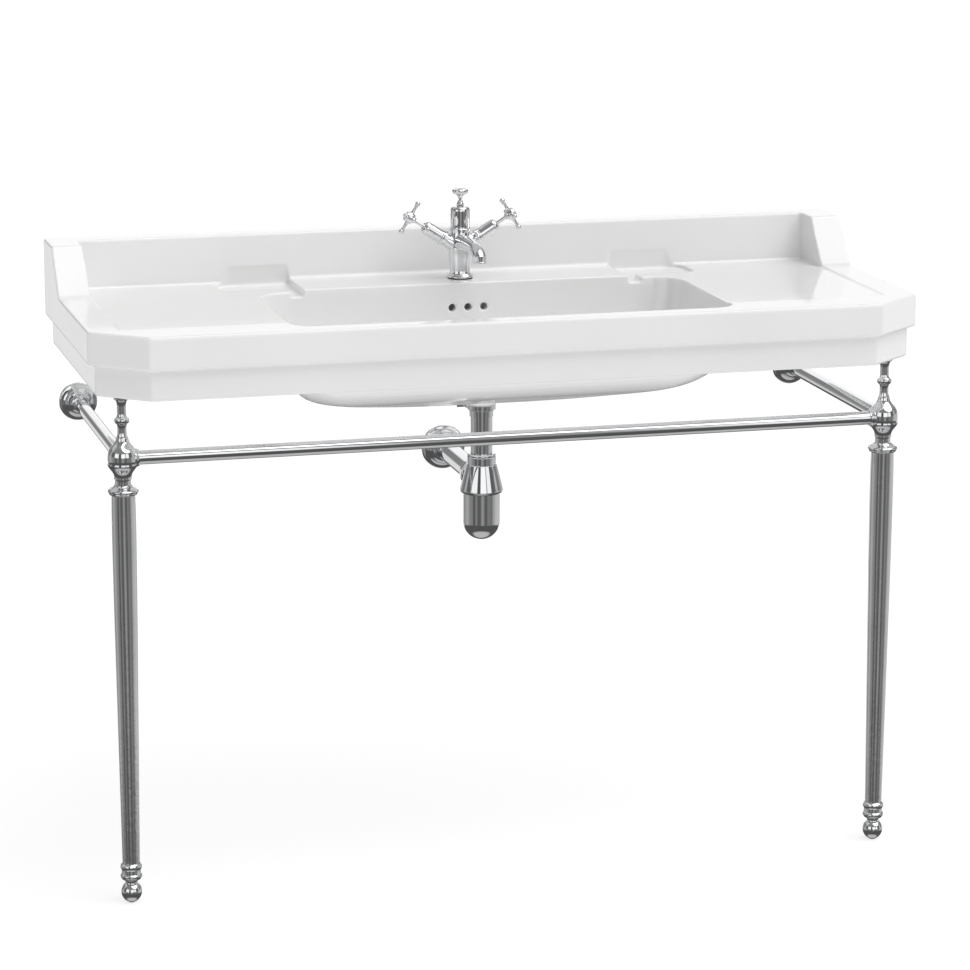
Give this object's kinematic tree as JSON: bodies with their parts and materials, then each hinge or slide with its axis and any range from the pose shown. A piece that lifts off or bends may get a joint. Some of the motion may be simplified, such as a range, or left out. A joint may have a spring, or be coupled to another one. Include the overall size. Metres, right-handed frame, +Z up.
{
  "type": "console basin on washstand",
  "caption": "Wide white ceramic console basin with raised back and side ears on a chrome stand with turned legs, front and side rails, cross-head mixer tap, pop-up waste and bottle trap.",
  "frame": {"origin": "centre of the bounding box in plan, on the floor under the feet; the wall plane is at y = +0.235 m and the front edge of the basin at y = -0.235 m", "axes": "+X along the width to the user's right, +Y towards the wall, +Z up"},
  "size_m": [1.2, 0.47, 0.951],
  "materials": {
    "white_china": "gloss white glaze",
    "polished_chrome": "mirror polished plate on brass",
    "black_rubber": "matt",
    "white_plastic": "satin moulded",
    "plain_brass": "as machined",
    "bright_steel": "zinc bright"
  },
  "bodies": {
    "washstand": {"basin": "white_china", "basin_pads": "black_rubber", "centre_shroud": "polished_chrome", "clamp_washer": "bright_steel", "cone_washer": "white_plastic", "deck_washer": "black_rubber", "dip_tube": "plain_brass", "flange_seal": "black_rubber", "flow_insert": "white_plastic", "foot_ferrules": "polished_chrome", "front_rail": "polished_chrome", "inlet_tails": "plain_brass", "left_corner_ball": "polished_chrome", "left_leg_tube": "polished_chrome", "left_side_rail": "polished_chrome", "leg_collars": "polished_chrome", "lever_ball_nut": "polished_chrome", "outlet_arm": "polished_chrome", "outlet_nut": "polished_chrome", "outlet_rose": "polished_chrome", "rail_grub_screws": "bright_steel", "rail_wall_roses": "polished_chrome", "right_corner_ball": "polished_chrome", "right_leg_tube": "polished_chrome", "right_side_rail": "polished_chrome", "rod_guide": "polished_chrome", "spout": "polished_chrome", "spout_nozzle": "polished_chrome", "tap_back_nut": "plain_brass", "tap_base_seal": "black_rubber", "tap_body": "polished_chrome", "tap_shank": "plain_brass", "top_spindles": "polished_chrome", "trap_bottle": "polished_chrome", "trap_inlet_nut": "polished_chrome", "trap_seals": "black_rubber", "trap_shroud": "polished_chrome", "valve_bonnets": "polished_chrome", "valve_cartridges": "white_plastic", "wall_brackets": "bright_steel", "waste_back_nut": "polished_chrome", "waste_body": "polished_chrome"},
    "hot_handle": {"hot_spindle": "polished_chrome", "hot_cross_head": "polished_chrome", "hot_index": "white_china"},
    "cold_handle": {"cold_spindle": "polished_chrome", "cold_cross_head": "polished_chrome", "cold_index": "white_china"},
    "lift": {"lift_rod": "polished_chrome", "lift_knob": "polished_chrome", "lift_strap": "polished_chrome", "strap_screw": "polished_chrome"},
    "lever": {"popup_lever": "bright_steel", "lever_clip": "bright_steel"},
    "plug": {"popup_plug": "polished_chrome", "plug_seal": "black_rubber"},
    "left_foot": {"left_ball_foot": "polished_chrome"},
    "right_foot": {"right_ball_foot": "polished_chrome"}
  },
  "joints": [
    {"name": "hot_turn", "type": "hinge", "parent": "washstand", "child": "hot_handle", "pos_m": [0, 0.129, 0.862], "axis": [-0.848, 0, 0.5299], "range_deg": [0, 90]},
    {"name": "cold_turn", "type": "hinge", "parent": "washstand", "child": "cold_handle", "pos_m": [0, 0.129, 0.862], "axis": [0.848, 0, 0.5299], "range_deg": [-90, 0]},
    {"name": "knob_lift", "type": "slide", "parent": "washstand", "child": "lift", "axis": [0, 0, 1], "range_m": [0, 0.024]},
    {"name": "lever_tilt", "type": "hinge", "parent": "washstand", "child": "lever", "pos_m": [0, 0.027, 0.634], "axis": [1, 0, 0], "range_deg": [0, 13.75]},
    {"name": "plug_drop", "type": "slide", "parent": "washstand", "child": "plug", "axis": [0, 0, -1], "range_m": [0, 0.00534]},
    {"name": "left_foot_level", "type": "slide", "parent": "washstand", "child": "left_foot", "axis": [0, 0, -1], "range_m": [0, 0.012]},
    {"name": "right_foot_level", "type": "slide", "parent": "washstand", "child": "right_foot", "axis": [0, 0, -1], "range_m": [0, 0.012]}
  ],
  "couplings": [
    {"joint": "lever_tilt", "follows": "knob_lift", "rad_per_m": 9.98},
    {"joint": "plug_drop", "follows": "knob_lift", "ratio": 0.22222}
  ]
}
